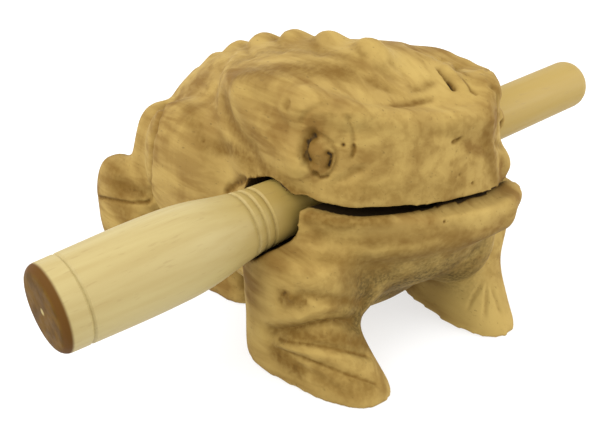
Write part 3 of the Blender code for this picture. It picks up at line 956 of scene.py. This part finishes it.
    def refine(self, piece: bpy.types.Object) -> None:
        """Splits the faces where fine marks will be.

        Args:
            piece: the carving.
        """
        bm = bmesh.new()
        bm.from_mesh(piece.data)
        surface = BVHTree.FromBMesh(bm)
        points = np.array([vert.co for vert in bm.verts])
        fine = np.zeros(len(points), bool)
        for mark in self.marks:
            if mark.reach > self.fine_reach:
                continue
            for line in self.trace(mark, surface):
                fine |= distance_to_line(points, line)[0] < mark.reach + self.grain * self.fine_margin
        bm.verts.ensure_lookup_table()
        edges = [edge for edge in bm.edges if fine[edge.verts[0].index] and fine[edge.verts[1].index]]
        bmesh.ops.subdivide_edges(bm, edges=edges, cuts=self.fine_cuts, use_grid_fill=True)
        bmesh.ops.triangulate(bm, faces=[face for face in bm.faces if len(face.verts) > QUAD_CORNERS])
        bm.to_mesh(piece.data)
        bm.free()

    def carve(self, piece: bpy.types.Object) -> None:
        """Works every mark into the surface, and notes at each vertex the stains, the painted shade and the
        painted light.

        Args:
            piece: the carving.
        """
        mesh = piece.data
        points, normals = read_shape(mesh)
        bm = bmesh.new()
        bm.from_mesh(mesh)
        surface = BVHTree.FromBMesh(bm)
        bm.free()
        lift = lumps(points, self.unevenness_span) * self.unevenness
        stain_and_painted_light = np.zeros(len(points))
        pale = np.zeros(len(points))
        for mark in self.marks:
            for line in self.trace(mark, surface):
                share = self.strength(mark, line, points)
                lift -= mark.depth * share
                # Darkening from stains and painted shade, and paler wood as painted light where a mark's
                # value is below 0.
                stain_and_painted_light = np.maximum(stain_and_painted_light, mark.stain_and_painted_light * share**self.stain_and_shade_falloff)
                pale = np.maximum(pale, -mark.stain_and_painted_light * share)
        # Painted shade: the inside of the bore and the covered slit are made dark.
        stain_and_painted_light = np.maximum(stain_and_painted_light, self.painted_hollow_shade(points, surface))
        points += normals * lift[:, None]
        points = self.close_mouth(points)
        points[:, 2] = np.maximum(points[:, 2], 0.0)
        mesh.vertices.foreach_set("co", points.astype(np.float32).ravel())
        chin_speckle_and_shade = self.chin.share(self.across(points), self.behind(points), points[:, 2])
        # The vertices hold the stains with painted shade, the painted light, and the chin's speckle with
        # painted shade.
        for name, values in (("stain_and_painted_light", stain_and_painted_light), ("pale", pale), ("chin_speckle_and_shade", chin_speckle_and_shade)):
            layer = mesh.attributes.new(name, "FLOAT", "POINT")
            layer.data.foreach_set("value", values.astype(np.float32))
        mesh.update()
        mesh.shade_smooth()

    def strength(self, mark: Mark, line: np.ndarray, points: np.ndarray) -> np.ndarray:
        """Works out how strong a mark is at each point.

        Args:
            mark: the mark.
            line: its line on the carving.
            points: the carving's points.

        Returns:
            Its strength, from 1 on its line to 0 where it ends.
        """
        gap, along = distance_to_line(points, line)
        close = np.flatnonzero(gap < mark.reach * self.ragged_zone)
        span = max(self.raggedness_span, mark.reach)
        gap[close] *= 1 + self.raggedness * lumps(points[close], span)
        share = held(1 - gap / mark.reach)
        if mark.section is Section.ROUND:
            share = eased(share)
        if mark.fade:
            share = share * held(np.minimum(along, 1 - along) / self.run_out)
        return share

    def painted_hollow_shade(self, points: np.ndarray, surface: BVHTree) -> np.ndarray:
        """Finds the points that lie inside the bore or in the covered part of the mouth slit, where the wood
        is made dark as painted shade.

        Args:
            points: the carving's points.
            surface: the carving's surface.

        Returns:
            How dark the painted shade makes each point, up to its full darkness.
        """
        from_bore, over_mouth = self.from_cuts(points)
        across, behind = self.across(points), self.behind(points)
        in_mouth = (np.abs(over_mouth) < self.mouth_gap / 2 + self.grain * self.hollow_margin) & (behind < 0)
        for index in np.flatnonzero(in_mouth & (from_bore >= 0)):
            out = Vector((across[index], behind[index], 0.0)).normalized()
            inwards = Vector((0, 0, 1 if over_mouth[index] < 0 else -1))
            way = (out * self.hollow_slope + inwards).normalized()
            start = Vector(points[index]) + way * self.grain
            in_mouth[index] = surface.ray_cast(start, way, self.mouth_gap)[0] is not None
        in_bore = held(0.5 - from_bore / (self.grain * self.rim_fade))
        return self.hollow_painted_shade * np.maximum(in_mouth, in_bore)

    def close_mouth(self, points: np.ndarray) -> np.ndarray:
        """Draws the wood above the stick down to it where the stick enters, clear of its neck.

        Args:
            points: the carving's points.

        Returns:
            The points after the move.
        """
        start, along, _ = stick_line()
        direction = np.array(along)
        across = points - np.array(start)
        place = across @ direction
        across -= place[:, None] * direction
        distance = np.maximum(np.linalg.norm(across, axis=1), MERGE_DISTANCE)
        above = across @ np.array(self.lid_side.normalized()) / distance
        share = held((above - self.lid_start) / self.lid_spread)
        share *= held((self.lid_end - place) / self.lid_fade)
        share *= held((self.lid_reach - distance) / self.lid_fade)
        share = eased(share)
        nearer = np.maximum(distance - self.lid_drop * share, np.minimum(distance, self.lid_clearance))
        lower = across * ((nearer - distance) / distance)[:, None]
        return points + lower - direction * (self.lid_overhang * share)[:, None]

    def dress(self, piece: bpy.types.Object) -> None:
        """Gives the carving its wood.

        Args:
            piece: the carving.
        """
        sheet = NodeSheet("carved_wood")
        finish = self.finish
        long_grain = sheet.mapped((1.0, 0.10, 1.0), turn=(0.06, 0.0, 0.08))
        patches = sheet.clouds(sheet.place, scale=38.0, detail=6.0, warp=0.8)
        streaks = sheet.clouds(long_grain, scale=420.0, detail=4.0, warp=0.3)
        bands = sheet.clouds(sheet.mapped((1.0, 0.20, 1.0)), scale=105.0, detail=4.0, warp=0.9)
        browner = sheet.plus(sheet.between(patches, 0.44, 0.64, top=0.60),
                             sheet.between(bands, 0.44, 0.68, top=0.50))
        browner = sheet.plus(browner, sheet.between(streaks, 0.38, 0.70, top=0.40))
        wood = sheet.blend(browner, finish.light, finish.dark)
        # Painted light: the pale colour makes places paler that should look more brightly lit.
        wood = sheet.blend(sheet.times(sheet.value("pale"), finish.painted_light_share), wood, finish.pale)
        dashes = sheet.clouds(sheet.mapped((1.0, 0.30, 1.0)), scale=1500.0, detail=2.0)
        pores = sheet.between(dashes, 0.64, 0.78, top=0.34)
        wood = sheet.blend(pores, wood, finish.pore)
        speckle = sheet.clouds(sheet.place, scale=1300.0)
        edge = sheet.between(sheet.clouds(sheet.place, scale=150.0, detail=4.0), 0.30, 0.60, bottom=0.55)
        # The speckle under the jaw, with painted shade darkening the whole underside.
        chin_speckle_and_shade = sheet.times(sheet.times(sheet.value("chin_speckle_and_shade"), edge),
                           sheet.between(speckle, 0.32, 0.68, bottom=0.50, top=0.96))
        wood = sheet.blend(chin_speckle_and_shade, wood, finish.chin_speckle_and_shade)
        ragged = sheet.clouds(sheet.place, scale=800.0, detail=4.0)
        ragged = sheet.between(ragged, 0.30, 0.70, bottom=0.72, top=1.12)
        # Stains and painted shade: darker colour along the marks, and black painted shade inside the bore and
        # the slit.
        stains_and_shade = sheet.times(sheet.value("stain_and_painted_light"), ragged)
        wood = sheet.blend(sheet.between(stains_and_shade, -0.10, 0.70), wood, finish.umber)
        wood = sheet.blend(sheet.between(stains_and_shade, 0.55, 1.0), wood, finish.pore)
        roughness = sheet.between(streaks, 0.3, 0.7, finish.smoothest, finish.roughest)
        sheet.surface(wood, finish.shine, roughness)
        height = sheet.plus(sheet.times(streaks, finish.streak_height),
                            sheet.times(pores, finish.pore_height))
        height = sheet.plus(height, sheet.times(speckle, finish.speckle_height))
        sheet.relief(height, finish.relief, finish.relief_height)
        piece.data.materials.clear()
        piece.data.materials.append(sheet.material)


@dataclass
class StrikerStick:
    """The striker, turned on a lathe: handle, shoulder, scored neck, taper and rod.

    Attributes:
        finish: the wood.
        handle_diameter: the handle where it is thickest.
        handle_end_diameter: the handle at its outer end.
        handle_waist_diameter: the handle before the shoulder.
        handle_thickest: how far from the outer end it is thickest.
        handle_length: the handle's length.
        shoulder_length: the length over which it narrows to the neck.
        neck_diameter: the neck next to the shoulder.
        neck_length: the neck's length.
        entry_diameter: the neck next to the taper.
        taper_length: the taper's length.
        rod_diameter: the rod's diameter.
        end_rounding: the rounding of the handle's outer end.
        end_ring_radius: the radius of a ring of points on that end's flat face.
        tip_rounding: the rounding of the rod's tip.
        score_width: the width of a scored ring.
        score_depth: its depth.
        score_shape: its section, as places in widths with their shares of its depth.
        score_margin: how near to a ring's middle the plain outline may come, in widths.
        end_score_place: how far from the outer end the ring on the handle is.
        neck_scores: the number of rings on the neck.
        neck_score_pitch: the distance between them.
        first_neck_score: how far from the shoulder the first of them is.
        profile_step: the distance between the plain outline's points.
        easing: how far to each side the outline's corners are eased.
        corner_steps: the number of steps in a rounding.
        sides: the number of faces round the stick.
        crease: the angle from which an edge is sharp.
        rod_shade_span: the places along the stick between which it takes the rod's colour, which is painted
            shade.
        end_grain: the places along it between which the end grain ends.
        end_edge: the radii between which the end grain takes its rim's colour.
        pin_hole: the radii between which the pale mark of the lathe's centre ends.
    """

    finish: TurnedWood = field(default_factory=TurnedWood)
    handle_diameter: float = 0.0203
    handle_end_diameter: float = 0.0190
    handle_waist_diameter: float = 0.0199
    handle_thickest: float = 0.0207
    handle_length: float = 0.0345
    shoulder_length: float = 0.0114
    neck_diameter: float = 0.0150
    neck_length: float = 0.0076
    entry_diameter: float = 0.0142
    taper_length: float = 0.0140
    rod_diameter: float = 0.0133
    end_rounding: float = 0.0020
    end_ring_radius: float = 0.004
    tip_rounding: float = 0.0035
    score_width: float = 0.0010
    score_depth: float = 0.0004
    score_shape: tuple[Pair, ...] = ((-0.5, 0.0), (-0.25, 0.55), (0.0, 1.0), (0.25, 0.55), (0.5, 0.0))
    score_margin: float = 0.75
    end_score_place: float = 0.0062
    neck_scores: int = 3
    neck_score_pitch: float = 0.0024
    first_neck_score: float = 0.0007
    profile_step: float = 0.0008
    easing: float = 0.0050
    corner_steps: int = 6
    sides: int = 96
    crease: float = math.radians(40)
    rod_shade_span: Pair = (0.032, 0.062)
    end_grain: Pair = (0.0013, 0.0021)
    end_edge: Pair = (0.0078, 0.0088)
    pin_hole: Pair = (0.0004, 0.0010)

    def build(self) -> bpy.types.Object:
        """Turns the stick, lays it along its frame's axis and dresses it.

        Returns:
            The finished piece.
        """
        start, along, length = stick_line()
        bm = bmesh.new()
        verts = [bm.verts.new((place, radius, 0.0)) for place, radius in self.profile(length)]
        edges = [bm.edges.new(pair) for pair in zip(verts, verts[1:])]
        bmesh.ops.spin(bm, geom=verts + edges, cent=Vector(), axis=Vector((1, 0, 0)), angle=math.tau,
                       steps=self.sides, use_merge=True)
        bmesh.ops.remove_doubles(bm, verts=bm.verts, dist=MERGE_DISTANCE)
        bmesh.ops.recalc_face_normals(bm, faces=bm.faces)
        turn = Vector((1, 0, 0)).rotation_difference(along).to_matrix().to_4x4()
        bmesh.ops.transform(bm, verts=bm.verts, matrix=Matrix.Translation(start) @ turn)
        piece = new_object("turned_stick", bm)
        piece.data.shade_smooth()
        piece.data.set_sharp_from_angle(angle=self.crease)
        self.dress(piece, start, along)
        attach(piece, "stick")
        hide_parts("striker_stick")
        return piece

    def radius_at(self, place: float) -> float:
        """Finds the radius at a distance from the handle's end, with the outline's corners eased."""
        spots = [place + self.easing * share for share in (-1.0, -0.5, 0.0, 0.5, 1.0)]
        return sum(self.straight_radius(spot) for spot in spots) / len(spots)

    def straight_radius(self, place: float) -> float:
        """Finds the stick's radius before its corners are eased.

        Args:
            place: the distance from the handle's end.

        Returns:
            The radius.
        """
        neck_start = self.handle_length + self.shoulder_length
        taper_start = neck_start + self.neck_length
        stations = (
            (0.0, self.handle_end_diameter),
            (self.handle_thickest, self.handle_diameter),
            (self.handle_length, self.handle_waist_diameter),
            (neck_start, self.neck_diameter),
            (taper_start, self.entry_diameter),
            (taper_start + self.taper_length, self.rod_diameter),
        )
        for (here, wide), (there, narrow) in zip(stations, stations[1:]):
            if place <= there:
                share = (place - here) / (there - here)
                return (wide + (narrow - wide) * share) / 2
        return self.rod_diameter / 2

    def score_places(self) -> list[float]:
        """Places the scored rings along the stick.

        Returns:
            The distance of each ring's middle from the handle's end.
        """
        first = self.handle_length + self.shoulder_length + self.first_neck_score
        on_neck = [first + self.neck_score_pitch * index for index in range(self.neck_scores)]
        return [self.end_score_place, *on_neck]

    def profile(self, length: float) -> list[Pair]:
        """Draws the turned outline.

        Args:
            length: the stick's whole length.

        Returns:
            Points as (distance from the handle's end, radius).
        """
        quarter = [math.pi / 2 * step / self.corner_steps for step in range(self.corner_steps + 1)]
        outline = [(0.0, 0.0), (0.0, self.end_ring_radius)]
        for angle in quarter:
            place = self.end_rounding * (1 - math.cos(angle))
            outline.append((place, self.radius_at(place) - self.end_rounding * (1 - math.sin(angle))))
        outline += self.side_points(length)
        rod = self.rod_diameter / 2
        for angle in quarter:
            place = length - self.tip_rounding * (1 - math.sin(angle))
            outline.append((place, rod - self.tip_rounding * (1 - math.cos(angle))))
        outline.append((length, 0.0))
        return outline

    def side_points(self, length: float) -> list[Pair]:
        """Draws the outline between its rounded ends, with the scored rings.

        Args:
            length: the stick's whole length.

        Returns:
            Points as (distance from the handle's end, radius), in order.
        """
        scores = self.score_places()
        place = self.end_rounding + self.profile_step
        side = []
        while place < length - self.tip_rounding:
            if all(abs(place - score) > self.score_width * self.score_margin for score in scores):
                side.append((place, self.radius_at(place)))
            place += self.profile_step
        for score in scores:
            for offset, drop in self.score_shape:
                spot = score + offset * self.score_width
                side.append((spot, self.radius_at(spot) - self.score_depth * drop))
        return sorted(side)

    def dress(self, piece: bpy.types.Object, start: Vector, along: Vector) -> None:
        """Gives the stick its wood, with end grain on the handle's end.

        Args:
            piece: the stick.
            start: the middle of the handle's end.
            along: the direction to the tip.
        """
        sheet = NodeSheet("turned_wood")
        finish = self.finish
        lean = math.atan2(along.z, along.x)
        straight = Matrix.Rotation(lean, 3, "Y") @ start
        shift = tuple(-value for value in straight)
        plain = sheet.mapped((1.0, 1.0, 1.0), turn=(0.0, lean, 0.0), shift=shift)
        spread = sheet.add("ShaderNodeSeparateXYZ")
        sheet.join(plain, spread.inputs["Vector"])
        from_end = spread.outputs["X"]
        streaks = sheet.clouds(sheet.scaled(plain, (0.06, 1.0, 1.0)), scale=500.0, detail=4.0, warp=0.2)
        waves = sheet.clouds(sheet.scaled(plain, (0.12, 1.0, 1.0)), scale=110.0, detail=3.0, warp=1.2)
        browner = sheet.plus(sheet.between(streaks, 0.38, 0.72, top=0.45),
                             sheet.between(waves, 0.42, 0.66, top=0.45))
        wood = sheet.blend(browner, finish.light, finish.dark)
        # Painted shade: the rod is made darker and more orange than the handle.
        wood = sheet.blend(sheet.between(from_end, *self.rod_shade_span, top=0.85), wood, finish.rod)
        flecks = sheet.clouds(sheet.scaled(plain, (0.16, 1.0, 1.0)), scale=1500.0, detail=2.0)
        wood = sheet.blend(sheet.between(flecks, 0.60, 0.74, top=0.24), wood, finish.fleck)
        at_end = sheet.between(from_end, *self.end_grain, bottom=1.0, top=0.0)
        wood = sheet.blend(at_end, wood, self.end_wood(sheet, plain))
        shine = sheet.minus(finish.shine, sheet.times(at_end, finish.shine * finish.end_dullness))
        roughness = sheet.between(streaks, 0.3, 0.7, finish.smoothest, finish.roughest)
        sheet.surface(wood, shine, roughness)
        sheet.relief(streaks, finish.relief, finish.relief_height)
        piece.data.materials.append(sheet.material)

    def end_wood(self, sheet: NodeSheet, plain: Socket) -> Socket:
        """Colours the end grain, with its rim and the mark of the lathe's centre.

        Args:
            sheet: the stick's material.
            plain: coordinates along the stick and across it.

        Returns:
            The colour.
        """
        finish = self.finish
        end_clouds = sheet.clouds(plain, scale=260.0, detail=5.0, warp=0.4)
        colour = sheet.blend(sheet.between(end_clouds, 0.35, 0.65), finish.end, finish.end_light)
        from_axis = sheet.add("ShaderNodeVectorMath", operation="LENGTH")
        sheet.join(sheet.scaled(plain, (0.0, 1.0, 1.0)), from_axis.inputs[0])
        radius = from_axis.outputs["Value"]
        colour = sheet.blend(sheet.between(radius, *self.end_edge), colour, finish.end_rim)
        return sheet.blend(sheet.between(radius, *self.pin_hole, bottom=0.8, top=0.0), colour, finish.light)


@dataclass(frozen=True)
class Lamp:
    """A soft square lamp.

    Attributes:
        name: its name.
        place: where it stands.
        size: the side of its face.
        power: its power in watts.
    """

    name: str
    place: Triple
    size: float
    power: float

    def add(self, target: Vector) -> None:
        """Puts the lamp in the scene.

        Args:
            target: the place that it faces.
        """
        lamp = bpy.data.lights.new(self.name, "AREA")
        lamp.size = self.size
        lamp.energy = self.power
        holder = bpy.data.objects.new(self.name, lamp)
        bpy.context.scene.collection.objects.link(holder)
        holder.location = self.place
        holder.rotation_euler = (target - Vector(self.place)).to_track_quat("-Z", "Y").to_euler()


@dataclass
class Studio:
    """A pale floor and soft light, as in the photograph.

    Attributes:
        floor_size: the floor's side.
        floor_colour: its colour.
        floor_roughness: how rough it is.
        floor_glow: how strongly it glows, so that it looks like a paper without a horizon.
        world_strength: the strength of the light from all round.
        lamps: the lamps.
        target: the place that they face.
    """

    floor_size: float = 6.0
    floor_colour: Colour = (0.34, 0.34, 0.34)
    floor_roughness: float = 0.9
    floor_glow: float = 0.66
    world_strength: float = 1.42
    lamps: tuple[Lamp, ...] = (
        Lamp("key_light", (-0.42, 0.02, 0.42), size=0.50, power=2.8),
        Lamp("fill_light", (0.45, -0.45, 0.30), size=0.60, power=2.6),
    )
    target: Vector = field(default_factory=lambda: Vector((0.0, 0.0, 0.035)))

    def build(self) -> None:
        """Adds the floor, the lamps and the light from all round."""
        self.add_floor()
        for lamp in self.lamps:
            lamp.add(self.target)
        world = bpy.data.worlds.new("studio_light")
        world.use_nodes = True
        backdrop = world.node_tree.nodes["Background"]
        backdrop.inputs["Color"].default_value = WHITE
        backdrop.inputs["Strength"].default_value = self.world_strength
        bpy.context.scene.world = world
        bpy.context.scene.view_settings.view_transform = "Standard"

    def add_floor(self) -> None:
        """Adds the glowing paper on which the frog stands."""
        bm = bmesh.new()
        bmesh.ops.create_grid(bm, x_segments=4, y_segments=4, size=self.floor_size / 2)
        floor = new_object("studio_floor", bm)
        sheet = NodeSheet("studio_paper")
        sheet.shader.inputs["Base Color"].default_value = (*self.floor_colour, 1.0)
        sheet.shader.inputs["Roughness"].default_value = self.floor_roughness
        sheet.shader.inputs["Emission Color"].default_value = WHITE
        sheet.shader.inputs["Emission Strength"].default_value = self.floor_glow
        floor.data.materials.append(sheet.material)


def main() -> None:
    """Builds the pieces in order."""
    camera = PhotoCamera()
    camera.add()
    for maker in (FrogCarving(camera), StrikerStick()):
        piece = maker.build()
        log.info("%s has %d faces", piece.name, len(piece.data.polygons))
    Studio().build()


if __name__ == "__main__":
    main()
